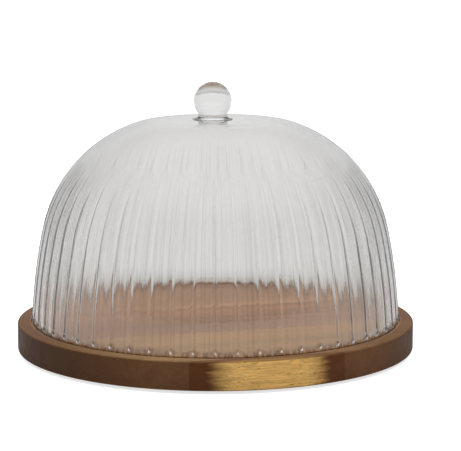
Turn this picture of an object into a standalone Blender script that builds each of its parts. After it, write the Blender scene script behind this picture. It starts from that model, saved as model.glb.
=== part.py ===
"""Ribbed glass cloche on a round wooden serving board.

The board is edge-glued from four staves, stands on four small bumper feet and has a shallow
groove that locates the dome. The dome is a fluted glass shell with a nearly flat crown, and a
solid glass ball knob stands on that crown. The dome and its knob lift straight off the board.

Metres, +Z up. The origin is on the board's axis, in the plane that the feet stand on.
"""

import math

import bmesh
import bpy
from mathutils import Matrix, Vector

# Board
BOARD_DIAMETER = 0.3000
BOARD_THICKNESS = 0.0210
BOARD_EDGE_ROUND = 0.0015
STAVE_WIDTH = 0.0880
FRONT_STAVE_WIDTH = 0.0110  # at its widest; the rear stave takes up what the others leave
GRAIN_ANGLE = math.radians(15.5)  # the staves' length, turned anticlockwise from +X

# Locating groove in the board's top
GROOVE_DEPTH = 0.0024
GROOVE_SIDE_CLEARANCE = 0.0008

# Feet
FOOT_DIAMETER = 0.0120
FOOT_HEIGHT = 0.0020
FOOT_EDGE_ROUND = 0.0004
FOOT_CIRCLE_RADIUS = 0.1050
FOOT_COUNT = 4

# Dome
LEDGE_WIDTH = 0.0104  # board left showing outside the dome's ridges
DOME_HEIGHT = 0.1535
GLASS_THICKNESS = 0.0032
CROWN_CORNER_RADIUS = 0.0480
CROWN_CORNER_SLOPE = math.radians(17.8)
SHOULDER_RADIUS = 0.1070
SHOULDER_SLOPE = math.radians(78.0)
RIM_SLOPE = math.radians(88.0)
RIDGE_COUNT = 56
RIDGE_HEIGHT = 0.0012
RIDGE_FADE_WIDTH = 0.0450  # from no ridge on the shoulder to a ridge of full height
RIDGE_FULL_INSET = 0.0250  # from the rim's radius in to where the ridges reach full height
DOME_TURN = math.radians(0.4)  # how far the dome is turned on the board

# Knob
BALL_DIAMETER = 0.0288
NECK_DIAMETER = 0.0216
NECK_HEIGHT = 0.0038
NECK_FLARE = 0.0042
FLARE_EDGE = 0.0006
KNOB_OFFSET = Vector((-0.0019, 0.0, 0.0))  # the knob was set by hand, a little off centre

# Fits and smoothness
TOUCH_GAP = 0.0003
BOARD_STEPS = 88
KNOB_STEPS = 40
FOOT_STEPS = 24
STEPS_PER_RIDGE = 2
CROWN_CORNER_STEPS = 2
SHOULDER_STEPS = 7
WALL_STEPS = 3
RIM_STEPS = 4
BALL_STEPS = 14
FLARE_STEPS = 4
FLARE_BEND = 2.5  # 1 for a straight flare, more for one that turns out at its foot
BOARD_EDGE_STEPS = 2
FOOT_EDGE_STEPS = 2
SHARP_ANGLE = math.radians(35)
MERGE_DISTANCE = 0.00005

# Sizes that follow
BOARD_RADIUS = BOARD_DIAMETER / 2
BOARD_BOTTOM = FOOT_HEIGHT + TOUCH_GAP
BOARD_TOP = BOARD_BOTTOM + BOARD_THICKNESS
DOME_RADIUS = BOARD_RADIUS - LEDGE_WIDTH
GROOVE_FLOOR = BOARD_TOP - GROOVE_DEPTH
GROOVE_OUTER_RADIUS = DOME_RADIUS + GROOVE_SIDE_CLEARANCE
GROOVE_INNER_RADIUS = DOME_RADIUS - RIDGE_HEIGHT - GLASS_THICKNESS - GROOVE_SIDE_CLEARANCE
DOME_RIM_BOTTOM = GROOVE_FLOOR + TOUCH_GAP
DOME_TOP = DOME_RIM_BOTTOM + DOME_HEIGHT
KNOB_BOTTOM = DOME_TOP + TOUCH_GAP

STAVE_NAMES = ("stave_rear", "stave_rear_middle", "stave_front_middle", "stave_front")
STAVE_COLOURS = (
    (0.205, 0.105, 0.058),
    (0.180, 0.086, 0.050),
    (0.300, 0.165, 0.085),
    (0.380, 0.215, 0.090),
)


def clear_scene():
    for item in list(bpy.data.objects):
        bpy.data.objects.remove(item, do_unlink=True)


def new_collection(name):
    collection = bpy.data.collections.new(name)
    bpy.context.scene.collection.children.link(collection)
    return collection


def new_material(name, colour, roughness, transmission=0.0, ior=1.45):
    material = bpy.data.materials.new(name)
    material.use_nodes = True
    shader = material.node_tree.nodes["Principled BSDF"]
    shader.inputs["Base Color"].default_value = (*colour, 1.0)
    shader.inputs["Roughness"].default_value = roughness
    shader.inputs["Metallic"].default_value = 0.0
    shader.inputs["Transmission Weight"].default_value = transmission
    shader.inputs["IOR"].default_value = ior
    return material


def new_object(name, mesh, collection, material=None):
    made = bpy.data.objects.new(name, mesh)
    collection.objects.link(made)
    if material:
        mesh.materials.append(material)
    return made


def shade_round(mesh):
    mesh.shade_smooth()
    mesh.set_sharp_from_angle(angle=SHARP_ANGLE)


def turned(name, outline, steps, collection, material=None):
    """A solid turned about Z. The outline runs from the axis at the top, down the outer side."""
    mesh = bpy.data.meshes.new(name)
    shape = bmesh.new()
    points = [shape.verts.new((radius, 0.0, height)) for radius, height in outline]
    for upper, lower in zip(points, points[1:]):
        shape.edges.new((upper, lower))
    shape.to_mesh(mesh)
    shape.free()
    made = new_object(name, mesh, collection, material)
    screw = made.modifiers.new("Turn", "SCREW")
    screw.axis = "Z"
    screw.angle = 2 * math.pi
    screw.steps = steps
    screw.render_steps = steps
    screw.use_merge_vertices = True
    screw.merge_threshold = MERGE_DISTANCE
    return made


def made_mesh(item):
    """Replaces an object's modifiers with the mesh that they make."""
    graph = bpy.context.evaluated_depsgraph_get()
    mesh = bpy.data.meshes.new_from_object(item.evaluated_get(graph))
    mesh.name = item.name
    item.modifiers.clear()
    item.data = mesh
    return mesh


def arc(centre_radius, centre_height, radius, start, end, steps):
    """Points on a circle, where an angle is the surface's slope: 0 faces up and 90 degrees out."""
    angles = [start + (end - start) * step / steps for step in range(1, steps + 1)]
    return [
        (centre_radius + radius * math.sin(a), centre_height + radius * math.cos(a))
        for a in angles
    ]


def board_outline():
    """The board's section: flat top with the groove, rounded edge, flat underside."""
    quarter_turn = math.pi / 2
    edge_radius = BOARD_RADIUS - BOARD_EDGE_ROUND
    upper_edge = BOARD_TOP - BOARD_EDGE_ROUND
    lower_edge = BOARD_BOTTOM + BOARD_EDGE_ROUND
    outline = [
        (0.0, BOARD_TOP),
        (GROOVE_INNER_RADIUS, BOARD_TOP),
        (GROOVE_INNER_RADIUS, GROOVE_FLOOR),
        (GROOVE_OUTER_RADIUS, GROOVE_FLOOR),
        (GROOVE_OUTER_RADIUS, BOARD_TOP),
        (edge_radius, BOARD_TOP),
    ]
    outline += arc(edge_radius, upper_edge, BOARD_EDGE_ROUND, 0.0, quarter_turn, BOARD_EDGE_STEPS)
    outline.append((BOARD_RADIUS, lower_edge))
    outline += arc(
        edge_radius, lower_edge, BOARD_EDGE_ROUND, quarter_turn, math.pi, BOARD_EDGE_STEPS
    )
    outline.append((0.0, BOARD_BOTTOM))
    return outline


def stave_edges():
    """Each stave's two long edges, as distances towards the front from the board's axis."""
    front_joint = BOARD_RADIUS - FRONT_STAVE_WIDTH
    joints = [front_joint - STAVE_WIDTH * count for count in (2, 1, 0)]
    beyond = BOARD_DIAMETER
    starts = [-beyond] + [joint + TOUCH_GAP / 2 for joint in joints]
    ends = [joint - TOUCH_GAP / 2 for joint in joints] + [beyond]
    return list(zip(starts, ends))


def make_stave_cutter(name, start, end, cutters):
    """A block that covers one stave's width, laid along the grain."""
    mesh = bpy.data.meshes.new(name)
    block = bmesh.new()
    bmesh.ops.create_cube(block, size=1.0)
    bmesh.ops.scale(block, vec=(2 * BOARD_DIAMETER, end - start, 4 * BOARD_TOP), verts=block.verts)
    block.to_mesh(mesh)
    block.free()
    cutter = new_object(name, mesh, cutters)
    towards_front = Vector((math.sin(GRAIN_ANGLE), -math.cos(GRAIN_ANGLE), 0.0))
    cutter.location = towards_front * (start + end) / 2
    cutter.rotation_euler = (0.0, 0.0, GRAIN_ANGLE)
    cutter.hide_render = True
    cutter.display_type = "WIRE"
    return cutter


def make_board(parts, cutters):
    """Four staves, each the part of the turned board that lies between two glue lines."""
    for name, colour, (start, end) in zip(STAVE_NAMES, STAVE_COLOURS, stave_edges()):
        wood = new_material(f"{name}_acacia", colour, roughness=0.45)
        stave = turned(name, board_outline(), BOARD_STEPS, parts, wood)
        shape = made_mesh(stave)
        cut = stave.modifiers.new("Glue lines", "BOOLEAN")
        cut.operation = "INTERSECT"
        cut.solver = "EXACT"
        cut.object = make_stave_cutter(f"{name}_cutter", start, end, cutters)
        shade_round(shape)


def make_feet(parts):
    """Round bumper feet on the board's underside, evenly spaced on a circle."""
    silicone = new_material("foot_silicone", (0.62, 0.62, 0.60), roughness=0.5)
    mesh = bpy.data.meshes.new("foot")
    pad = bmesh.new()
    bmesh.ops.create_cone(
        pad,
        cap_ends=True,
        segments=FOOT_STEPS,
        radius1=FOOT_DIAMETER / 2,
        radius2=FOOT_DIAMETER / 2,
        depth=FOOT_HEIGHT,
        matrix=Matrix.Translation((0.0, 0.0, FOOT_HEIGHT / 2)),
    )
    pad.to_mesh(mesh)
    pad.free()
    mesh.materials.append(silicone)
    for count in range(FOOT_COUNT):
        angle = 2 * math.pi * (count + 0.5) / FOOT_COUNT
        foot = new_object(f"foot_{count + 1}", mesh, parts)
        foot.location = FOOT_CIRCLE_RADIUS * Vector((math.cos(angle), math.sin(angle), 0.0))
        edge = foot.modifiers.new("Edge", "BEVEL")
        edge.width = FOOT_EDGE_ROUND
        edge.segments = FOOT_EDGE_STEPS
        edge.limit_method = "ANGLE"
    shade_round(mesh)


def dome_side():
    """The outside of the dome's section at a ridge's crest, as (radius, height, slope) points.

    Four runs that meet smoothly: flat crown, crown corner, shoulder and wall. The shoulder and
    corner have their own radii. The wall's radius follows from the height that is left for it,
    and the flat crown's radius from the width that is left.
    """
    half_wall = GLASS_THICKNESS / 2
    wall_end_radius = DOME_RADIUS - half_wall * (1 - math.sin(RIM_SLOPE))
    wall_end_height = DOME_RIM_BOTTOM + half_wall * (1 + math.cos(RIM_SLOPE))
    corner_drop = CROWN_CORNER_RADIUS * (1 - math.cos(CROWN_CORNER_SLOPE))
    shoulder_drop = SHOULDER_RADIUS * (math.cos(CROWN_CORNER_SLOPE) - math.cos(SHOULDER_SLOPE))
    wall_drop = DOME_TOP - wall_end_height - corner_drop - shoulder_drop
    wall_radius = wall_drop / (math.cos(SHOULDER_SLOPE) - math.cos(RIM_SLOPE))
    runs = [
        (CROWN_CORNER_RADIUS, 0.0, CROWN_CORNER_SLOPE, CROWN_CORNER_STEPS),
        (SHOULDER_RADIUS, CROWN_CORNER_SLOPE, SHOULDER_SLOPE, SHOULDER_STEPS),
        (wall_radius, SHOULDER_SLOPE, RIM_SLOPE, WALL_STEPS),
    ]
    across = sum(size * (math.sin(end) - math.sin(start)) for size, start, end, _ in runs)
    radius = wall_end_radius - across
    height = DOME_TOP
    side = [(0.0, height, 0.0), (radius, height, 0.0)]
    for size, start, end, steps in runs:
        centre_radius = radius - size * math.sin(start)
        centre_height = height - size * math.cos(start)
        points = arc(centre_radius, centre_height, size, start, end, steps)
        slopes = [start + (end - start) * step / steps for step in range(1, steps + 1)]
        side += [(r, z, slope) for (r, z), slope in zip(points, slopes)]
        radius, height = points[-1]
    return side


def dome_outline():
    """The dome's whole section: the outside, the rounded rim, and the inside back to the axis."""
    side = dome_side()
    outside = [(radius, height) for radius, height, _ in side]
    inside = [
        (
            max(0.0, radius - GLASS_THICKNESS * math.sin(slope)),
            height - GLASS_THICKNESS * math.cos(slope),
        )
        for radius, height, slope in side
    ]
    half_wall = GLASS_THICKNESS / 2
    end_radius, end_height, end_slope = side[-1]
    rim_radius = end_radius - half_wall * math.sin(end_slope)
    rim_height = end_height - half_wall * math.cos(end_slope)
    rim_end = end_slope + math.pi
    rim = arc(rim_radius, rim_height, half_wall, end_slope, rim_end, RIM_STEPS)[:-1]
    return outside + rim + inside[::-1]


def ridge_height_at(radius):
    """Full height near the wall, easing out to nothing on the shoulder."""
    full_radius = DOME_RADIUS - RIDGE_FULL_INSET
    share = (radius - full_radius + RIDGE_FADE_WIDTH) / RIDGE_FADE_WIDTH
    share = min(1.0, max(0.0, share))
    return RIDGE_HEIGHT * share * share * (3 - 2 * share)


def make_dome(parts, glass, lift_axis):
    """The fluted shell. Ridges between the flutes have their crests on the turned section."""
    dome = turned("glass_dome", dome_outline(), RIDGE_COUNT * STEPS_PER_RIDGE, parts, glass)
    mesh = made_mesh(dome)
    for vertex in mesh.vertices:
        radius = math.hypot(vertex.co.x, vertex.co.y)
        if radius < TOUCH_GAP:
            continue
        around = math.atan2(vertex.co.y, vertex.co.x)
        in_flute = abs(math.sin(RIDGE_COUNT * around / 2))
        shrink = 1 - ridge_height_at(radius) * in_flute / radius
        vertex.co.x *= shrink
        vertex.co.y *= shrink
    mesh.transform(Matrix.Rotation(DOME_TURN, 4, "Z"))
    shade_round(mesh)
    place_on_axis(dome, lift_axis)


def knob_outline():
    """The knob's section from the top of the ball to the flat underside of its flared neck."""
    ball_radius = BALL_DIAMETER / 2
    neck_radius = NECK_DIAMETER / 2
    drop_to_neck = math.sqrt(ball_radius**2 - neck_radius**2)
    ball_centre = KNOB_BOTTOM + NECK_HEIGHT + drop_to_neck
    neck_slope = math.pi - math.asin(neck_radius / ball_radius)
    outline = [(0.0, ball_centre + ball_radius)]
    outline += arc(0.0, ball_centre, ball_radius, 0.0, neck_slope, BALL_STEPS)
    flare_height = NECK_HEIGHT - FLARE_EDGE
    flare_top = KNOB_BOTTOM + FLARE_EDGE
    for step in range(1, FLARE_STEPS + 1):
        share = step / FLARE_STEPS
        spread = NECK_FLARE * share**FLARE_BEND
        outline.append((neck_radius + spread, flare_top + flare_height * (1 - share)))
    outline.append((neck_radius + NECK_FLARE, KNOB_BOTTOM))
    outline.append((0.0, KNOB_BOTTOM))
    return outline


def make_knob(parts, glass, lift_axis):
    """A solid ball on a short flared neck, standing on the flat crown."""
    knob = turned("glass_knob", knob_outline(), KNOB_STEPS, parts, glass)
    mesh = made_mesh(knob)
    mesh.transform(Matrix.Translation(KNOB_OFFSET))
    shade_round(mesh)
    place_on_axis(knob, lift_axis)


def place_on_axis(item, lift_axis):
    """Hangs a piece on the lifting body, whose origin is on the joint's axis at the rim."""
    item.data.transform(Matrix.Translation(-lift_axis.location))
    item.parent = lift_axis


def main():
    clear_scene()
    parts = new_collection("ribbed_glass_cloche")
    cutters = new_collection("cutters")
    make_board(parts, cutters)
    make_feet(parts)
    lift_axis = bpy.data.objects.new("dome_lift_axis", None)
    lift_axis.location = (0.0, 0.0, DOME_RIM_BOTTOM)
    parts.objects.link(lift_axis)
    dome_glass = new_material("dome_glass", (0.96, 0.97, 0.96), 0.02, transmission=1.0, ior=1.5)
    knob_glass = new_material("knob_glass", (0.97, 0.98, 0.97), 0.02, transmission=1.0, ior=1.5)
    make_dome(parts, dome_glass, lift_axis)
    make_knob(parts, knob_glass, lift_axis)
    bpy.context.view_layer.update()


main()
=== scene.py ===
"""Ribbed glass cloche on a round acacia board: the visible pieces, their materials and a studio.

Laid out as an add-on: each operator makes one piece or a group of like pieces around the frame.
"""

import math

import bmesh
import bpy
from bpy.props import FloatProperty, FloatVectorProperty, IntProperty, PointerProperty
from mathutils import Matrix, Vector, noise


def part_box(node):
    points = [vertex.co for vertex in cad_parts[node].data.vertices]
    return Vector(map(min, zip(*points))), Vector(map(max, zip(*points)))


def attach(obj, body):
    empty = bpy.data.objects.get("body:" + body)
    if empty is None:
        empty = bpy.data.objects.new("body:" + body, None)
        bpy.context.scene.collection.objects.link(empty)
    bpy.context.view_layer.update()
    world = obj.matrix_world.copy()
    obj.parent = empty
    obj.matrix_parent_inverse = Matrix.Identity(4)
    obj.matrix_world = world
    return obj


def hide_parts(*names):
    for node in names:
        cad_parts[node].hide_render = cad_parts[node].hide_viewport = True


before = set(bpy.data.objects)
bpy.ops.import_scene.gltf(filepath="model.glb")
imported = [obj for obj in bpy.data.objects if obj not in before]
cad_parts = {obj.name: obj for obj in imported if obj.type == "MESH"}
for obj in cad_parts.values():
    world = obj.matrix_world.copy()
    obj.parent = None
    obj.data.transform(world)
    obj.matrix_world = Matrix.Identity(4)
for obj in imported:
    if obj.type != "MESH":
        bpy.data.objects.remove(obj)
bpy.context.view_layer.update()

bl_info = {
    "name": "Ribbed Glass Cloche",
    "version": (1, 0, 0),
    "blender": (4, 5, 0),
    "location": "View3D > Sidebar > Cloche",
    "description": "Makes a fluted glass dome with its ball knob on an edge-glued wooden board",
    "category": "Add Mesh",
}

DOME_LOW, DOME_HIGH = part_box("glass_dome")
KNOB_LOW, KNOB_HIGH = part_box("glass_knob")
STAVES = {
    "stave_rear": "wood_rear",
    "stave_rear_middle": "wood_rear_middle",
    "stave_front_middle": "wood_front_middle",
    "stave_front": "wood_front",
}
FEET = ("foot_1", "foot_2", "foot_3", "foot_4")
BOARD_LOW = Vector(map(min, *[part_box(stave)[0] for stave in STAVES]))
BOARD_HIGH = Vector(map(max, *[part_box(stave)[1] for stave in STAVES]))
BOARD_RADIUS = BOARD_HIGH.x
DOME_RADIUS = max(point.co.xy.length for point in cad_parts["glass_dome"].data.vertices)
MERGE_DISTANCE = 0.000001
QUARTER_TURN = math.pi / 2

# Faces along each stretch of a turned section
CROWN_STEPS = 2
CORNER_STEPS = 10
SHOULDER_STEPS = 19
WALL_STEPS = 6
WALL_FOOT_STEPS = 10
GLASS_RIM_STEPS = 10
BALL_STEPS = 60
FLARE_STEPS = 14
GROOVE_EDGE_STEPS = 4
BOARD_EDGE_STEPS = 6

GLASS_IOR = 1.5
WAVES_A_METRE = 22.0  # how closely the blown glass waves
FLARE_POWER = 5  # how late the knob's neck spreads into its flare
FOOT_SIDES = 64
FOOT_BEVEL_STEPS = 4
FOOT_TAPER = 0.94  # a foot's top against its bottom
PATTERN_STEP = 0.31  # metres that each stave's figure is moved from the last one's


def length(name, description, default):
    return FloatProperty(name=name, description=description, default=default, unit="LENGTH", precision=5)


def angle(name, description, degrees):
    return FloatProperty(
        name=name, description=description, default=math.radians(degrees), unit="ROTATION"
    )


def colour(name, description, default):
    return FloatVectorProperty(
        name=name, description=description, default=default, subtype="COLOR", min=0.0, max=1.0
    )


def amount(name, description, default):
    return FloatProperty(name=name, description=description, default=default, min=0.0)


class DomeSettings(bpy.types.PropertyGroup):
    """Sizes and glass of the fluted dome."""

    wall: length("Glass wall", "Thickness of the glass at the rim", 0.0032)
    crown_wall: length("Crown wall", "Thickness of the glass on the crown", 0.0013)
    corner_length: length("Crown corner", "Length over which the flat crown turns down", 0.0265)
    corner_ease: amount("Corner ease", "1 for an even curve, more for a corner that begins gently", 2.2)
    corner_slope: angle("Corner slope", "Slope where the crown's corner ends", 17.8)
    shoulder_radius: length("Shoulder", "Radius of the shoulder", 0.1070)
    shoulder_slope: angle("Shoulder slope", "Slope where the shoulder ends", 78.0)
    rim_slope: angle("Rim slope", "Slope of the wall at the rim", 88.0)
    ridge_count: IntProperty(name="Ridges", description="Number of ridges round the dome", default=56)
    relief_depth: length("Relief depth", "Deepest drop from the dome's outline, beside a ridge", 0.0012)
    inner_height: length("Inner ridge height", "How far ridges lift the inner face", 0.0001)
    ridge_fade: length("Ridge fade", "Width over which ridges rise on the shoulder", 0.0340)
    ridge_full_inset: length("Full ridge inset", "From the rim's radius in to full ridges", 0.0035)
    fine_foot: length("Fine foot", "Height over the rim that is made with fine faces", 0.0075)
    ridge_foot: length("Ridge foot", "Height over which ridges sink at the rim", 0.0030)
    flute_bulge: length("Flute bulge", "How far a flute bulges out between ridges", 0.00045)
    flute_flatness: amount("Flute flatness", "2 for round flutes, more for flat sides", 2.4)
    ridge_width: length("Ridge width", "Half of a ridge's width, where it has fallen to a third", 0.00120)
    turn: angle("Turn", "How far the dome is turned on the board", 0.4)
    waviness: length("Waviness", "Unevenness of the blown glass", 0.00012)
    steps_per_flute: IntProperty(name="Steps", description="Faces across a flute", default=16)
    crowding: amount("Crowding", "1 for even faces across a flute, more to crowd them at its ridges", 1.9)
    ripple: length("Ripple", "Height of the fine lines drawn down the wall", 0.0002)
    # The darker foot is painted shade in the glass's colour, not a tint the glass has; the foot's relief
    # is a bump.
    foot_height: length("Foot height", "How high the darker foot reaches over the board", 0.0045)
    foot_ragged: length("Foot edge", "How uneven the top of the darker foot is", 0.0022)
    foot_relief: amount("Foot relief", "How many times deeper the drawn lines are at the foot", 3.0)
    painted_foot_shade: colour("Foot tint", "Colour of the glass at its foot", (0.56, 0.49, 0.47))
    bead_size: length("Bead", "Distance from the ridge to where an arm has faded", 0.0026)
    bead_thickness: length("Bead thickness", "From an arm's middle to where it has faded", 0.0009)
    bead_rise: length("Bead rise", "How far a bead stands out", 0.0008)
    bead_height: length("Bead height", "Height over the board where its arms meet", 0.0042)
    bead_spread: amount("Bead spread", "How steeply its arms fall away from the ridge", 1.1)
    tint: colour("Glass tint", "Colour of the clear glass", (0.960, 0.963, 0.960))


class KnobSettings(bpy.types.PropertyGroup):
    """Sizes of the ball knob. Its place and height come from the frame."""

    ball_diameter: length("Ball", "Diameter of the ball", 0.0288)
    neck_diameter: length("Neck", "Diameter of the neck", 0.0216)
    flare_edge: length("Flare edge", "Thickness of the flare's edge", 0.00015)
    turn_steps: IntProperty(name="Steps", description="Faces round the knob", default=112)
    tint: colour("Glass tint", "Colour of the solid glass", (0.985, 0.990, 0.985))


class BoardSettings(bpy.types.PropertyGroup):
    """Sizes and wood of the board."""

    grain_angle: angle("Grain direction", "The staves' length, anticlockwise from +X", 15.5)
    edge_round: length("Edge rounding", "Radius of the rim's two edges", 0.0015)
    groove_depth: length("Groove depth", "Depth of the groove round the top", 0.0024)
    groove_clearance: length("Groove clearance", "Groove beyond the glass on each side", 0.0003)
    groove_round: length("Groove rounding", "Radius of the groove's edges", 0.0004)
    glue_line: length("Glue line", "Visible gap between two staves", 0.00004)
    sapwood_from: length("Sapwood", "Distance from the axis where sapwood begins", 0.1430)
    sapwood_fade: length("Sapwood fade", "Width over which heartwood turns to sapwood", 0.0052)
    turn_steps: IntProperty(name="Steps", description="Faces round the rim", default=360)
    rear: colour("Rear stave", "Main tone of the rear stave", (0.335, 0.196, 0.118))
    rear_middle: colour("Rear middle stave", "Main tone", (0.292, 0.163, 0.097))
    front_middle: colour("Front middle stave", "Main tone", (0.328, 0.192, 0.092))
    front: colour("Front stave", "Main tone of the front stave", (0.230, 0.115, 0.048))
    sapwood: colour("Sapwood", "Golden tone of the sapwood", (0.760, 0.460, 0.150))
    # Painted shade: the rim's sides are darker than the top because of the way they face.
    rim: colour("Rim", "Tone of the rim's sides", (0.060, 0.009, 0.001))
    # Painted shade: the ledge outside the glass is darker, more so towards its left and right ends.
    painted_ledge_shade: colour("Ledge", "Darker tone outside the glass", (0.070, 0.025, 0.008))
    # Painted shadow: a streaked darker ring on the wood just inside the glass, where the ridges' shadow
    # falls.
    painted_ring_shadow: colour("Foot shade", "Darker tone of the wood inside the glass", (0.110, 0.066, 0.050))
    end_grain: colour("End grain", "Tone where the rim cuts across the grain", (0.026, 0.012, 0.007))
    # Painted shade: the groove under the glass is darker, as a contact shadow.
    groove_painted_shade: colour("Groove", "Tone in the groove under the glass", (0.260, 0.145, 0.070))


class FootSettings(bpy.types.PropertyGroup):
    """Bumper feet."""

    edge_round: length("Edge rounding", "Radius of a foot's edges", 0.0005)
    tone: colour("Silicone", "Tone of the silicone", (0.62, 0.62, 0.60))


class StageSettings(bpy.types.PropertyGroup):
    """Studio, light and camera."""

    floor_size: length("Floor", "Width of the floor", 6.0)
    floor_tone: colour("Floor tone", "Tone of the floor", (0.90, 0.90, 0.90))
    floor_lift: amount("Floor lift", "Light added to the floor that the camera sees", 0.72)
    room_light: amount("Room light", "Strength of the even light of the room", 0.30)
    ceiling_light: amount("Ceiling light", "How bright the ceiling looks in glass", 1.00)
    behind_glass: amount("Behind glass", "How bright the floor looks through glass", 1.00)
    shade_tone: colour("Floor shade", "Warm shade that glass shows on the floor", (0.36, 0.28, 0.20))
    shade_from: length("Shade from", "Radius of the full shade on the floor", 0.17)
    shade_to: length("Shade to", "Radius where the floor is clear of shade", 0.36)
    camera_distance: length("Camera distance", "From the camera to the dome's axis", 1.3925)
    camera_side: length("Camera side", "Camera to the right of the dome's axis", 0.0114)
    camera_height: length("Camera height", "Camera above the floor", 0.3136)
    aim_height: length("Aim height", "Height that the camera looks at on the axis", 0.0939)
    lens: FloatProperty(name="Lens", description="Focal length in mm", default=145.5)


def settings():
    return bpy.context.scene.cloche


def arc(centre_radius, centre_height, radius, start, end, steps):
    """Points on a circle; an angle is the surface's slope, 0 facing up and 90 degrees out."""
    slopes = [start + (end - start) * step / steps for step in range(1, steps + 1)]
    return [
        (centre_radius + radius * math.sin(a), centre_height + radius * math.cos(a), a)
        for a in slopes
    ]


def flat(points):
    """Section points without their slopes."""
    return [(radius, height) for radius, height, _ in points]


def smooth_step(share):
    """Eases a share from 0 to 1, and holds it there beyond."""
    share = min(1.0, max(0.0, share))
    return share * share * (3 - 2 * share)


def spun(outline, steps):
    """A closed bmesh made by spinning an outline from the top of the axis round to its foot.

    An outline's point is (radius, height, share of the way in through the wall).
    """
    shape = bmesh.new()
    inside = shape.verts.layers.float.new("inside")
    points = []
    for radius, height, share in outline:
        point = shape.verts.new((radius, 0.0, height))
        point[inside] = share
        points.append(point)
    for upper, lower in zip(points, points[1:]):
        shape.edges.new((upper, lower))
    bmesh.ops.spin(
        shape,
        geom=shape.verts[:] + shape.edges[:],
        axis=(0.0, 0.0, 1.0),
        cent=(0.0, 0.0, 0.0),
        dvec=(0.0, 0.0, 0.0),
        angle=2 * math.pi,
        steps=steps,
        use_merge=True,
    )
    bmesh.ops.remove_doubles(shape, verts=shape.verts[:], dist=MERGE_DISTANCE)
    bmesh.ops.recalc_face_normals(shape, faces=shape.faces[:])
    return shape


def finished(shape, name, body, nodes, material, sharp=35.0):
    """Turns a bmesh into a piece that rides on a body and stands for its frame nodes."""
    old = bpy.data.objects.get(name)
    if old:
        bpy.data.objects.remove(old)
    mesh = bpy.data.meshes.new(name)
    shape.to_mesh(mesh)
    shape.free()
    mesh.shade_smooth()
    mesh.set_sharp_from_angle(angle=math.radians(sharp))
    mesh.materials.append(material)
    piece = bpy.data.objects.new(name, mesh)
    bpy.context.scene.collection.objects.link(piece)
    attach(piece, body)
    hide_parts(*nodes)
    return piece


# Materials


class Graph:
    """Adds nodes to a node tree and links them."""

    def __init__(self, tree):
        self.nodes = tree.nodes
        self.links = tree.links

    def add(self, kind, inputs=None, **options):
        """A node of a kind. An input's value may be a constant or another node's output."""
        made = self.nodes.new("ShaderNode" + kind)
        for key, value in options.items():
            setattr(made, key, value)
        for key, value in (inputs or {}).items():
            self.feed(made.inputs[key], value)
        return made

    def feed(self, socket, value):
        if isinstance(value, bpy.types.NodeSocket):
            self.links.new(value, socket)
        else:
            socket.default_value = value

    def math(self, operation, first, second=0.0):
        return self.add("Math", {0: first, 1: second}, operation=operation).outputs[0]

    def times(self, first, second):
        return self.math("MULTIPLY", first, second)

    def vector(self, operation, first, second=(0.0, 0.0, 0.0), output=0):
        """An operation on one or two places. A length or a dot product is the output Value."""
        return self.add("VectorMath", {0: first, 1: second}, operation=operation).outputs[output]

    def split(self, place):
        """A place's three coordinates."""
        return self.add("SeparateXYZ", {0: place}).outputs

    def mapped(self, source, **inputs):
        """A place moved by Location, turned by Rotation or stretched by Scale."""
        return self.add("Mapping", {"Vector": source, **inputs}).outputs[0]

    def between(self, value, low, high, out_low=0.0, out_high=1.0):
        """Smooth step of a value between two limits, onto two others."""
        inputs = {
            "Value": value,
            "From Min": low,
            "From Max": high,
            "To Min": out_low,
            "To Max": out_high,
        }
        return self.add("MapRange", inputs, interpolation_type="SMOOTHSTEP").outputs[0]

    def mix(self, share, first, second):
        """A number between two others."""
        return self.add("Mix", {0: share, 2: first, 3: second}).outputs[0]

    def blend(self, share, first, second, how="MIX"):
        """A colour between two others."""
        made = self.add("Mix", data_type="RGBA", blend_type=how)
        for index, value in ((0, share), (6, first), (7, second)):
            self.feed(made.inputs[index], value)
        return made.outputs[2]


class Finish(Graph):
    """The nodes of a new material, with its shader and the place on its piece."""

    def __init__(self, name):
        self.material = bpy.data.materials.new(name)
        self.material.use_nodes = True
        super().__init__(self.material.node_tree)
        self.shader = self.nodes["Principled BSDF"]
        self.place = self.add("TexCoord").outputs["Object"]

    def set(self, **inputs):
        """Sets the shader's own sockets, named with underscores for spaces."""
        for key, value in inputs.items():
            self.feed(self.shader.inputs[key.replace("_", " ")], value)

    def noise(self, source, scale, detail=2.0, roughness=0.5, distortion=0.0):
        """Noise between 0 and 1 over a place stretched by scale, in cycles a metre."""
        inputs = {
            "Vector": self.mapped(source, Scale=scale),
            "Scale": 1.0,
            "Detail": detail,
            "Roughness": roughness,
            "Distortion": distortion,
        }
        return self.add("TexNoise", inputs).outputs["Fac"]

    def bump(self, height, strength, distance):
        inputs = {"Height": height, "Strength": strength, "Distance": distance}
        return self.add("Bump", inputs).outputs[0]

    def level(self):
        """The place brought down to the floor."""
        return self.mapped(self.place, Scale=(1.0, 1.0, 0.0))

    def from_axis(self):
        """Distance from the board's axis."""
        return self.vector("LENGTH", self.level(), output="Value")

    def outwards(self):
        """Direction straight out from the board's axis."""
        return self.vector("NORMALIZE", self.level())


def shade(tone, factor=1.0):
    """A tone made lighter or darker, as a colour with its alpha."""
    return (*[min(1.0, channel * factor) for channel in tone], 1.0)


def handling_haze(glass):
    """Broad patches left by hands."""
    return glass.noise(glass.place, (28.0, 28.0, 9.0), 3.0)


def hazy_tone(glass, haze, tint, dullest):
    """The glass's tint, a little duller in the haze."""
    return glass.blend(glass.between(haze, 0.35, 0.7), shade(tint), shade(tint, dullest))


def set_glass(glass, tone, haze, roughest, normal):
    """Clear polished glass of a tone, faintly rougher in the haze."""
    glass.set(
        Base_Color=tone,
        Roughness=glass.between(haze, 0.45, 0.8, 0.0, roughest),
        Metallic=0.0,
        Transmission_Weight=1.0,
        IOR=GLASS_IOR,
        Normal=normal,
    )


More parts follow.
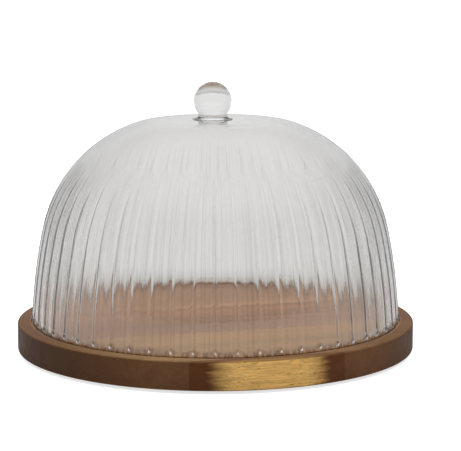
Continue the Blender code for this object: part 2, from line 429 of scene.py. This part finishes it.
def glass_material(name, tint):
    """Clear polished glass with a little handling haze."""
    glass = Finish(name)
    haze = handling_haze(glass)
    fine = glass.noise(glass.place, (420.0, 420.0, 60.0))
    set_glass(glass, hazy_tone(glass, haze, tint, 0.975), haze, 0.02, glass.bump(fine, 0.06, 0.0004))
    return glass.material


def fluted_glass_material(name, dome):
    """Clear glass with fine lines drawn down its wall, painted dark and bright streaks along them and
    painted shade at its uneven foot.
    """
    glass = Finish(name)
    haze = handling_haze(glass)
    outwards = glass.outwards()
    upwards = glass.mapped(glass.place, Scale=(0.0, 0.0, 0.05))
    wall_place = glass.vector("ADD", outwards, upwards)
    on_wall = glass.between(glass.from_axis(), 0.096, 0.123)

    drawn = glass.noise(wall_place, (90.0, 90.0, 90.0), 2.0, 0.8)
    # Painted shade and painted highlight: darker and lighter streaks in the glass's colour along the
    # drawn lines stand in for streaks of bent light.
    painted_dark_lines = glass.times(glass.between(drawn, 0.40, 0.46, 0.9, 0.0), on_wall)
    painted_bright_lines = glass.times(glass.between(drawn, 0.55, 0.60), on_wall)
    tinted = hazy_tone(glass, haze, dome.tint, 0.98)
    tinted = glass.blend(painted_dark_lines, tinted, shade(dome.tint, 0.86))
    tinted = glass.blend(painted_bright_lines, tinted, shade(dome.tint, 1.04))

    # Painted shade: a darker tint with a ragged top at the glass's foot stands in for the dark band that
    # bent light makes there.
    bristle = glass.noise(wall_place, (60.0, 60.0, 0.0), 2.0, 0.7)
    height = glass.split(glass.place)[2]
    uneven = glass.between(bristle, 0.3, 0.7, -dome.foot_ragged, dome.foot_ragged)
    foot_top = BOARD_HIGH.z + dome.foot_height
    foot = glass.between(glass.math("ADD", height, uneven), foot_top - 0.0015, foot_top, 1.0, 0.0)
    foot = glass.times(foot, glass.between(bristle, 0.44, 0.56, 0.0, 0.9))
    tinted = glass.blend(foot, tinted, shade(dome.painted_foot_shade))

    relief = glass.between(height, foot_top - 0.004, foot_top + 0.002, dome.foot_relief, 1.0)
    ripple = glass.times(glass.times(drawn, on_wall), relief)
    set_glass(glass, tinted, haze, 0.015, glass.bump(ripple, 1.0, dome.ripple))
    return glass.material


def add_sapwood(wood, body, turned, along, rim_share, board):
    """Golden sapwood past a ragged line near the board's front edge."""
    offset = wood.times(wood.split(turned)[1], -1.0)
    ragged = wood.noise(along, (22.0, 60.0, 420.0), 4.0, 0.6)
    edge = wood.math("ADD", offset, wood.between(ragged, 0.2, 0.8, -0.0012, 0.0012))
    share = wood.between(edge, board.sapwood_from, board.sapwood_from + board.sapwood_fade)
    share = wood.times(share, wood.between(rim_share, 0.0, 1.0, 0.35, 1.0))
    flecks = wood.between(wood.noise(along, (60.0, 300.0, 700.0), 3.0, 0.6), 0.3, 0.7)
    tone = wood.blend(flecks, shade(board.sapwood, 0.84), shade(board.sapwood, 1.12))
    return wood.blend(share, body, tone)


def add_painted_glass_shade(wood, body, rim_share, board):
    """Painted shade round the glass: a darker ledge outside it, a streaked ring of painted shadow inside
    it and a darker groove between.
    """
    from_axis = wood.from_axis()
    across, _, height = wood.split(wood.place)
    # Painted shade: the ledge outside the glass is darker, more so towards its left and right ends.
    ledge = wood.between(from_axis, DOME_RADIUS, DOME_RADIUS + 0.001)
    towards_ends = wood.between(wood.math("ABSOLUTE", across), 0.040, 0.130, 0.30, 0.68)
    ledge = wood.times(wood.times(ledge, towards_ends), wood.math("SUBTRACT", 1.0, rim_share))
    body = wood.blend(ledge, body, shade(board.painted_ledge_shade))

    # Painted shadow: streaks in a ring just inside the glass's foot, standing in for the shadow the
    # ridges cast on the wood.
    streaks = wood.noise(wood.outwards(), (60.0, 60.0, 0.0), 2.0, 0.7)
    ring = wood.between(streaks, 0.42, 0.58, 0.25, 0.85)
    ring = wood.times(ring, wood.between(from_axis, 0.108, 0.128))
    ring = wood.times(ring, wood.between(from_axis, DOME_RADIUS - 0.001, DOME_RADIUS, 1.0, 0.0))
    body = wood.blend(wood.times(ring, 0.7), body, shade(board.painted_ring_shadow))

    # Painted shade in the groove round the glass's foot, near the board's top.
    from_groove = wood.math("ABSOLUTE", wood.math("SUBTRACT", from_axis, DOME_RADIUS - 0.002))
    groove = wood.between(from_groove, 0.0022, 0.0040, 0.60, 0.0)
    near_top = wood.between(height, BOARD_HIGH.z - 0.004, BOARD_HIGH.z - 0.0025)
    return wood.blend(wood.times(groove, near_top), body, shade(board.groove_painted_shade))


def wood_material(name, tone, pattern_shift, board):
    """Oiled acacia: long ring figure, fibres, pores, dark end grain and sapwood, with painted shade on
    the rim's sides, the ledge, the groove and a ring under the glass.
    """
    wood = Finish(name)
    turned = wood.mapped(wood.place, Rotation=(0.0, 0.0, -board.grain_angle))
    along = wood.mapped(turned, Location=(pattern_shift, pattern_shift * 0.37, 0.0))
    figure = wood.noise(along, (3.0, 105.0, 70.0), 4.0, 0.58, 0.5)
    cloud = wood.noise(along, (7.0, 26.0, 26.0))
    fibre = wood.noise(along, (34.0, 1500.0, 1500.0), 2.0, 0.6)
    pores = wood.between(wood.noise(along, (210.0, 1350.0, 900.0), 1.0), 0.64, 0.74)

    facing = wood.add("NewGeometry").outputs["Normal"]
    grain = (math.cos(board.grain_angle), math.sin(board.grain_angle), 0.0)
    end_on = wood.math("ABSOLUTE", wood.vector("DOT_PRODUCT", facing, grain, "Value"))
    upright = wood.math("ABSOLUTE", wood.split(facing)[2])
    rim_share = wood.between(upright, 0.2, 0.8, 1.0, 0.0)

    body = wood.blend(wood.between(figure, 0.30, 0.68), shade(tone, 0.76), shade(tone, 1.22))
    body = wood.blend(wood.between(cloud, 0.35, 0.7, 0.0, 0.45), body, shade(tone, 0.66))
    # Painted shade: faces that stand upright, the rim's sides, are darkened by the way they face.
    body = wood.blend(wood.times(rim_share, 0.76), body, shade(board.rim))
    body = wood.blend(wood.between(end_on, 0.45, 1.0, 0.0, 0.8), body, shade(board.end_grain))
    body = add_sapwood(wood, body, turned, along, rim_share, board)
    body = wood.blend(wood.between(fibre, 0.3, 0.7, 0.0, 0.30), body, shade(tone, 0.45))
    body = wood.blend(wood.times(pores, 0.45), body, shade(tone, 0.18))
    body = add_painted_glass_shade(wood, body, rim_share, board)

    relief = wood.math("ADD", fibre, wood.times(pores, -1.6))
    wood.set(
        Base_Color=body,
        Roughness=wood.between(figure, 0.25, 0.75, 0.45, 0.62),
        Metallic=0.0,
        Specular_IOR_Level=0.05,
        Normal=wood.bump(relief, 0.35, 0.00025),
    )
    return wood.material


def silicone_material(tone):
    """Translucent moulded silicone with a faint matte grain."""
    graph = Finish("foot_silicone")
    grain = graph.noise(graph.place, (2500.0, 2500.0, 2500.0), 2.0)
    cloud = graph.noise(graph.place, (160.0, 160.0, 160.0), 2.0)
    graph.set(
        Base_Color=graph.blend(cloud, shade(tone, 0.93), shade(tone, 1.05)),
        Roughness=graph.between(grain, 0.3, 0.7, 0.42, 0.6),
        Metallic=0.0,
        Transmission_Weight=0.25,
        Normal=graph.bump(grain, 0.2, 0.00008),
    )
    return graph.material


# The dome


def crown_corner(dome, radius, height):
    """Section points that turn down from the flat crown, gently at first."""
    stride = dome.corner_length / CORNER_STEPS
    points = []
    for step in range(1, CORNER_STEPS + 1):
        middle_slope = dome.corner_slope * ((step - 0.5) / CORNER_STEPS) ** dome.corner_ease
        radius += stride * math.cos(middle_slope)
        height -= stride * math.sin(middle_slope)
        points.append((radius, height, dome.corner_slope * (step / CORNER_STEPS) ** dome.corner_ease))
    return points


def dome_side(dome):
    """Outer section at a ridge's crest: flat crown, crown corner, shoulder and wall."""
    half_wall = dome.wall / 2
    wall_end_radius = DOME_RADIUS - half_wall * (1 - math.sin(dome.rim_slope))
    wall_end_height = DOME_LOW.z + half_wall * (1 + math.cos(dome.rim_slope))
    corner_across, corner_end, _ = crown_corner(dome, 0.0, 0.0)[-1]
    shoulder_drop = dome.shoulder_radius * (
        math.cos(dome.corner_slope) - math.cos(dome.shoulder_slope)
    )
    wall_drop = DOME_HIGH.z - wall_end_height + corner_end - shoulder_drop
    wall_radius = wall_drop / (math.cos(dome.shoulder_slope) - math.cos(dome.rim_slope))
    foot_slope = math.acos(math.cos(dome.rim_slope) + dome.fine_foot / wall_radius)
    runs = [
        (dome.shoulder_radius, dome.corner_slope, dome.shoulder_slope, SHOULDER_STEPS),
        (wall_radius, dome.shoulder_slope, foot_slope, WALL_STEPS),
        (wall_radius, foot_slope, dome.rim_slope, WALL_FOOT_STEPS),
    ]
    across = sum(size * (math.sin(end) - math.sin(start)) for size, start, end, _ in runs)
    radius = wall_end_radius - across - corner_across
    height = DOME_HIGH.z
    side = [(radius * step / CROWN_STEPS, height, 0.0) for step in range(CROWN_STEPS + 1)]
    side += crown_corner(dome, radius, height)
    for size, start, end, steps in runs:
        radius, height, _ = side[-1]
        centre_radius = radius - size * math.sin(start)
        centre_height = height - size * math.cos(start)
        side += arc(centre_radius, centre_height, size, start, end, steps)
    return side


def glass_thickness(dome, slope):
    """The wall's thickness, which grows down the shoulder from the thinner crown."""
    share = (slope - dome.corner_slope) / (dome.shoulder_slope - dome.corner_slope)
    return dome.crown_wall + (dome.wall - dome.crown_wall) * smooth_step(share)


def dome_section(dome):
    """Outside, rounded rim and inside, with the share of the way in through the wall."""
    side = dome_side(dome)
    outside = [(radius, height, 0.0) for radius, height, _ in side]
    inside = [
        (
            max(0.0, radius - glass_thickness(dome, slope) * math.sin(slope)),
            height - glass_thickness(dome, slope) * math.cos(slope),
            1.0,
        )
        for radius, height, slope in side
    ]
    half_wall = dome.wall / 2
    end_radius, end_height, end_slope = side[-1]
    rim_radius = end_radius - half_wall * math.sin(end_slope)
    rim_height = end_height - half_wall * math.cos(end_slope)
    rim_end = end_slope + math.pi
    rim_arc = arc(rim_radius, rim_height, half_wall, end_slope, rim_end, GLASS_RIM_STEPS)[:-1]
    rim = [(radius, height, (slope - end_slope) / math.pi) for radius, height, slope in rim_arc]
    return outside + rim + inside[::-1]


def relief_share(dome, radius):
    """0 on the smooth crown, easing to 1 where ridges have their full height."""
    full_radius = DOME_RADIUS - dome.ridge_full_inset
    return smooth_step((radius - full_radius + dome.ridge_fade) / dome.ridge_fade)


def across_flute(dome, around):
    """Place across a flute at an angle round the dome: -1 and 1 on its ridges, 0 in its middle."""
    turns = around * dome.ridge_count / (2 * math.pi)
    return 2 * (turns - math.floor(turns)) - 1


def ridge_share(dome, from_ridge):
    """1 on the middle of a ridge, falling to a third at the ridge's width and 0 beyond it."""
    return math.exp(-((from_ridge / dome.ridge_width) ** 2))


def bulge_drop(dome, from_ridge):
    """How far a flute's bulge falls away: 0 in its middle, and the whole depth at its ridges."""
    half_flute = math.pi * DOME_RADIUS / dome.ridge_count
    towards_ridge = max(0.0, 1 - from_ridge / half_flute)
    return dome.flute_bulge * (1 - (1 - towards_ridge) ** dome.flute_flatness)


class CLOCHE_OT_dome(bpy.types.Operator):
    """Make the fluted glass dome"""

    bl_idname = "cloche.dome"
    bl_label = "Glass Dome"

    def execute(self, context):
        dome = settings().dome
        shape = spun(dome_section(dome), dome.ridge_count * dome.steps_per_flute)
        inside = shape.verts.layers.float["inside"]
        half_flute = math.pi / dome.ridge_count
        for point in shape.verts:
            radius = point.co.xy.length
            if radius < MERGE_DISTANCE:
                continue
            around = math.atan2(point.co.y, point.co.x)
            even = across_flute(dome, around + MERGE_DISTANCE)
            place = math.copysign(1 - (1 - abs(even)) ** dome.crowding, even)
            around += (place - even) * half_flute
            radius = self.fluted(dome, point, radius, place, point[inside])
            around += dome.turn
            point.co.xy = (radius * math.cos(around), radius * math.sin(around))
        glass = fluted_glass_material("dome_glass_clear", dome)
        piece = finished(shape, "fluted_dome", "dome", ["glass_dome"], glass)
        clear_shadows(piece)
        return {"FINISHED"}

    def fluted(self, dome, point, radius, place, share_in):
        """The radius of a point once ridges, beads and the glass's unevenness are in it."""
        from_ridge = (1 - abs(place)) * math.pi * DOME_RADIUS / dome.ridge_count
        over_board = point.co.z - BOARD_HIGH.z
        beside = 1 - ridge_share(dome, from_ridge)
        crest = dome.relief_depth - dome.flute_bulge
        foot = smooth_step(over_board / dome.ridge_foot)
        drop = bulge_drop(dome, from_ridge) + crest - (crest - crest * beside) * foot
        drop *= 1 - share_in
        drop += dome.inner_height * share_in * beside
        drop += dome.waviness * (0.5 + 0.5 * noise.noise(point.co * WAVES_A_METRE))
        over_arm = over_board - dome.bead_height + dome.bead_spread * from_ridge
        spread = (from_ridge / dome.bead_size) ** 2 + (over_arm / dome.bead_thickness) ** 2
        bead = dome.bead_rise * math.exp(-spread) * (1 - share_in)
        return radius - (drop - bead) * relief_share(dome, radius)


def clear_shadows(piece):
    """Clear glass lets the room's light through to the wood under it."""
    piece.visible_shadow = False
    piece.visible_diffuse = False


# The knob


def knob_section(knob):
    """From the top of the ball down its neck and flare to the flat underside."""
    ball_radius = knob.ball_diameter / 2
    neck_radius = knob.neck_diameter / 2
    flare_radius = (KNOB_HIGH.y - KNOB_LOW.y) / 2
    ball_centre = KNOB_HIGH.z - ball_radius
    neck_slope = math.pi - math.asin(neck_radius / ball_radius)
    outline = [(0.0, KNOB_HIGH.z)]
    outline += flat(arc(0.0, ball_centre, ball_radius, 0.0, neck_slope, BALL_STEPS))
    flare_top = KNOB_LOW.z + knob.flare_edge
    flare_height = outline[-1][1] - flare_top
    for step in range(1, FLARE_STEPS + 1):
        share = step / FLARE_STEPS
        spread = (flare_radius - neck_radius) * share**FLARE_POWER
        outline.append((neck_radius + spread, flare_top + flare_height * (1 - share)))
    outline.append((flare_radius, KNOB_LOW.z))
    outline.append((0.0, KNOB_LOW.z))
    return [(radius, height, 0.0) for radius, height in outline]


class CLOCHE_OT_knob(bpy.types.Operator):
    """Make the solid glass ball knob on its short neck"""

    bl_idname = "cloche.knob"
    bl_label = "Glass Knob"

    def execute(self, context):
        knob = settings().knob
        shape = spun(knob_section(knob), knob.turn_steps)
        middle = (KNOB_LOW + KNOB_HIGH) / 2
        bmesh.ops.translate(shape, verts=shape.verts[:], vec=(middle.x, middle.y, 0.0))
        glass = glass_material("knob_glass_clear", knob.tint)
        piece = finished(shape, "ball_knob", "dome", ["glass_knob"], glass)
        clear_shadows(piece)
        return {"FINISHED"}


# The board


def board_section(board, dome):
    """Half of the board's section: flat top with the groove, rounded edges, flat underside."""
    top = BOARD_HIGH.z
    bottom = BOARD_LOW.z
    floor = top - board.groove_depth
    outer = DOME_RADIUS + board.groove_clearance
    inner = DOME_RADIUS - dome.wall - dome.inner_height - dome.waviness - board.groove_clearance
    soft = board.groove_round
    edge = board.edge_round
    edge_radius = BOARD_RADIUS - edge
    outline = [(0.0, top), (inner - soft, top)]
    outline += flat(arc(inner - soft, top - soft, soft, 0.0, QUARTER_TURN, GROOVE_EDGE_STEPS))
    outline += [(inner, floor), (outer, floor)]
    outline += groove_outer_edge(outer, soft, top)
    outline += [(edge_radius, top)]
    outline += flat(arc(edge_radius, top - edge, edge, 0.0, QUARTER_TURN, BOARD_EDGE_STEPS))
    outline += [(BOARD_RADIUS, bottom + edge)]
    outline += flat(arc(edge_radius, bottom + edge, edge, QUARTER_TURN, math.pi, BOARD_EDGE_STEPS))
    outline += [(0.0, bottom)]
    return [(radius, height, 0.0) for radius, height in outline]


def groove_outer_edge(outer, soft, top):
    """The groove's outer edge: a quarter round that rises outwards to the board's top."""
    steps = GROOVE_EDGE_STEPS
    slopes = [QUARTER_TURN * (1 - step / steps) for step in range(steps + 1)]
    return [
        (outer + soft - soft * math.sin(slope), top - soft + soft * math.cos(slope))
        for slope in slopes
    ]


def stave_limits(node, towards_front):
    """The stave's two long edges, as distances towards the front from the board's axis."""
    reach = [towards_front.dot(point.co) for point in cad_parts[node].data.vertices]
    return min(reach), max(reach)


class CLOCHE_OT_board(bpy.types.Operator):
    """Make the four wooden staves of the board"""

    bl_idname = "cloche.board"
    bl_label = "Wooden Staves"

    def execute(self, context):
        board = settings().board
        towards_front = Vector((math.sin(board.grain_angle), -math.cos(board.grain_angle), 0.0))
        tones = (board.rear, board.rear_middle, board.front_middle, board.front)
        limits = [stave_limits(node, towards_front) for node in STAVES]
        joints = [(near[1] + far[0]) / 2 for near, far in zip(limits, limits[1:])]
        section = board_section(board, settings().dome)
        for index, (node, slot) in enumerate(STAVES.items()):
            shape = spun(section, board.turn_steps)
            if index > 0:
                self.trim(shape, towards_front, joints[index - 1] + board.glue_line / 2, -1)
            if index < len(joints):
                self.trim(shape, towards_front, joints[index] - board.glue_line / 2, 1)
            wood = wood_material(f"acacia_{node}", tones[index], PATTERN_STEP * (index + 1), board)
            finished(shape, f"wood_{node}", "board", [node], wood)
        return {"FINISHED"}

    def trim(self, shape, direction, distance, side):
        """Cuts the turned board flat at a distance and closes the cut."""
        bmesh.ops.bisect_plane(
            shape,
            geom=shape.verts[:] + shape.edges[:] + shape.faces[:],
            dist=MERGE_DISTANCE,
            plane_co=direction * distance,
            plane_no=direction * side,
            clear_outer=True,
        )
        open_edges = [edge for edge in shape.edges if edge.is_boundary]
        bmesh.ops.holes_fill(shape, edges=open_edges, sides=0)
        bmesh.ops.recalc_face_normals(shape, faces=shape.faces[:])


# The feet


class CLOCHE_OT_feet(bpy.types.Operator):
    """Make the bumper feet under the board"""

    bl_idname = "cloche.feet"
    bl_label = "Bumper Feet"

    def execute(self, context):
        foot = settings().foot
        silicone = silicone_material(foot.tone)
        for node in FEET:
            low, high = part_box(node)
            middle = (low + high) / 2
            radius = (high.x - low.x) / 2
            shape = bmesh.new()
            bmesh.ops.create_cone(
                shape,
                cap_ends=True,
                segments=FOOT_SIDES,
                radius1=radius,
                radius2=radius * FOOT_TAPER,
                depth=high.z - low.z,
                matrix=Matrix.Translation(middle),
            )
            rings = [
                edge
                for edge in shape.edges
                if abs(edge.verts[0].co.z - edge.verts[1].co.z) < MERGE_DISTANCE
            ]
            bmesh.ops.bevel(
                shape,
                geom=rings,
                offset=foot.edge_round,
                affect="EDGES",
                segments=FOOT_BEVEL_STEPS,
                profile=0.5,
                material=-1,
            )
            finished(shape, f"bumper_{node}", "board", [node], silicone)
        return {"FINISHED"}


# The stage


CEILING_FROM = 0.55  # how steeply up a direction points where the bright ceiling begins
CEILING_FULL = 0.85
CLEAR_FLOOR = (1.0, 1.0, 0.99, 1.0)
WHITE = (1.0, 1.0, 1.0, 1.0)

# Brightness of the room's walls in reflections, by degrees round from straight behind the dome
ROOM_WALLS = (
    (-180, 0.12),
    (-132, 0.12),
    (-120, 0.30),
    (-108, 1.05),
    (-68, 1.05),
    (-60, 0.66),
    (-44, 0.62),
    (-28, 0.72),
    (-14, 0.79),
    (14, 0.79),
    (28, 0.72),
    (44, 0.62),
    (60, 0.66),
    (68, 1.05),
    (108, 1.05),
    (120, 0.30),
    (132, 0.12),
    (180, 0.12),
)

# Brightness of a quarter of the room as it shows through glass, by degrees from its middle line
THROUGH_GLASS = ((0, 0.79), (14, 0.79), (28, 0.73), (44, 0.68), (60, 0.70), (68, 0.91), (90, 0.91))


def all_round(quarter):
    """A quarter's stops mirrored behind, in front and on both sides, so that every side is alike."""
    half = list(quarter) + [(180 - degrees, grey) for degrees, grey in quarter[-2::-1]]
    return [(-degrees, grey) for degrees, grey in half[:0:-1]] + half


def set_ramp(ramp, stops):
    """Fills a colour ramp with greys at angles round the room."""
    while len(ramp.elements) > 1:
        ramp.elements.remove(ramp.elements[-1])
    for index, (degrees, grey) in enumerate(stops):
        share = (degrees + 180) / 360
        element = ramp.elements[0] if index == 0 else ramp.elements.new(share)
        element.position = share
        element.color = (grey, grey, grey, 1.0)


def room_walls(graph, place, stops):
    """The brightness of the room's walls in the direction of a place."""
    across, deep, _ = graph.split(place)
    turn = graph.math("ARCTAN2", across, deep)
    around = graph.add("MapRange", {"Value": turn, "From Min": -math.pi, "From Max": math.pi})
    walls = graph.add("ValToRGB", {"Fac": around.outputs[0]})
    set_ramp(walls.color_ramp, stops)
    return walls.outputs["Color"]


class CLOCHE_OT_stage(bpy.types.Operator):
    """Make the floor, the studio light and the camera"""

    bl_idname = "cloche.stage"
    bl_label = "Studio"

    def execute(self, context):
        stage = settings().stage
        context.scene.view_settings.view_transform = "Standard"
        self.make_floor(stage)
        self.make_room(context, stage)
        self.make_lamp(
            "overhead_softbox",
            place=(0.0, 0.2, 2.4),
            target=(0.0, 0.2, 0.0),
            size=(4.0, 4.0),
            energy=95.0,
        )
        self.make_camera(context, stage)
        return {"FINISHED"}

    def make_floor(self, stage):
        shape = bmesh.new()
        bmesh.ops.create_grid(shape, x_segments=4, y_segments=4, size=stage.floor_size / 2)
        mesh = bpy.data.meshes.new("floor")
        shape.to_mesh(mesh)
        shape.free()
        floor = bpy.data.objects.new("floor", mesh)
        bpy.context.scene.collection.objects.link(floor)
        graph = Finish("studio_floor")
        graph.set(Base_Color=shade(stage.floor_tone), Roughness=0.9, Specular_IOR_Level=0.0)
        path = graph.add("LightPath").outputs
        lift = graph.times(path["Is Camera Ray"], stage.floor_lift)
        white = graph.add("Emission", {"Color": WHITE, "Strength": lift})
        lifted = graph.add("AddShader", {0: graph.shader.outputs[0], 1: white.outputs[0]})
        walls = room_walls(graph, graph.place, all_round(THROUGH_GLASS))
        from_middle = graph.vector("LENGTH", graph.place, output="Value")
        clear = graph.between(from_middle, stage.shade_from, stage.shade_to)
        seen = graph.blend(clear, shade(stage.shade_tone), CLEAR_FLOOR)
        seen = graph.blend(1.0, seen, walls, "MULTIPLY")
        grey = graph.add("Emission", {"Color": seen, "Strength": stage.behind_glass})
        through_glass = path["Is Transmission Ray"]
        mixed = graph.add("MixShader", {0: through_glass, 1: lifted.outputs[0], 2: grey.outputs[0]})
        graph.feed(graph.nodes["Material Output"].inputs["Surface"], mixed.outputs[0])
        mesh.materials.append(graph.material)

    def make_room(self, context, stage):
        """A room with softboxes and darker gaps, seen only by glass and gloss; white to the camera."""
        world = bpy.data.worlds.new("studio_room")
        context.scene.world = world
        world.use_nodes = True
        graph = Graph(world.node_tree)
        direction = graph.add("TexCoord").outputs["Generated"]
        path = graph.add("LightPath").outputs
        reflected = room_walls(graph, direction, ROOM_WALLS)
        through_glass = room_walls(graph, direction, all_round(THROUGH_GLASS))
        walls = graph.mix(path["Is Transmission Ray"], reflected, through_glass)
        overhead = graph.between(graph.split(direction)[2], CEILING_FROM, CEILING_FULL)
        ceiling = graph.mix(overhead, walls, stage.ceiling_light)
        even = graph.mix(path["Is Diffuse Ray"], ceiling, stage.room_light)
        background = graph.nodes["Background"]
        graph.feed(background.inputs["Color"], WHITE)
        graph.feed(background.inputs["Strength"], graph.mix(path["Is Camera Ray"], even, 1.0))

    def make_lamp(self, name, place, target, size, energy):
        data = bpy.data.lights.new(name, "AREA")
        data.shape = "RECTANGLE"
        data.size, data.size_y = size
        data.energy = energy
        lamp = bpy.data.objects.new(name, data)
        lamp.visible_glossy = False
        lamp.visible_transmission = False
        lamp.location = place
        lamp.rotation_euler = (Vector(target) - Vector(place)).to_track_quat("-Z", "Y").to_euler()
        bpy.context.scene.collection.objects.link(lamp)

    def make_camera(self, context, stage):
        data = bpy.data.cameras.new("camera")
        data.lens = stage.lens
        camera = bpy.data.objects.new("camera", data)
        place = Vector((stage.camera_side, -stage.camera_distance, stage.camera_height))
        target = Vector((stage.camera_side, 0.0, stage.aim_height))
        camera.location = place
        camera.rotation_euler = (target - place).to_track_quat("-Z", "Y").to_euler()
        context.scene.collection.objects.link(camera)
        context.scene.camera = camera


class ClocheSettings(bpy.types.PropertyGroup):
    """Everything that a user can change."""

    dome: PointerProperty(type=DomeSettings)
    knob: PointerProperty(type=KnobSettings)
    board: PointerProperty(type=BoardSettings)
    foot: PointerProperty(type=FootSettings)
    stage: PointerProperty(type=StageSettings)


OPERATORS = (CLOCHE_OT_board, CLOCHE_OT_feet, CLOCHE_OT_dome, CLOCHE_OT_knob, CLOCHE_OT_stage)


class CLOCHE_PT_panel(bpy.types.Panel):
    """Lists the operators that make the pieces and the studio"""

    bl_idname = "CLOCHE_PT_panel"
    bl_label = "Glass Cloche"
    bl_space_type = "VIEW_3D"
    bl_region_type = "UI"
    bl_category = "Cloche"

    def draw(self, context):
        for operator in OPERATORS:
            self.layout.operator(operator.bl_idname)


CLASSES = (
    DomeSettings,
    KnobSettings,
    BoardSettings,
    FootSettings,
    StageSettings,
    ClocheSettings,
    *OPERATORS,
    CLOCHE_PT_panel,
)


def register():
    for item in CLASSES:
        bpy.utils.register_class(item)
    bpy.types.Scene.cloche = PointerProperty(type=ClocheSettings)


def unregister():
    del bpy.types.Scene.cloche
    for item in reversed(CLASSES):
        bpy.utils.unregister_class(item)


def main():
    register()
    bpy.ops.cloche.board()
    bpy.ops.cloche.feet()
    bpy.ops.cloche.dome()
    bpy.ops.cloche.knob()
    bpy.ops.cloche.stage()


if __name__ == "__main__":
    main()
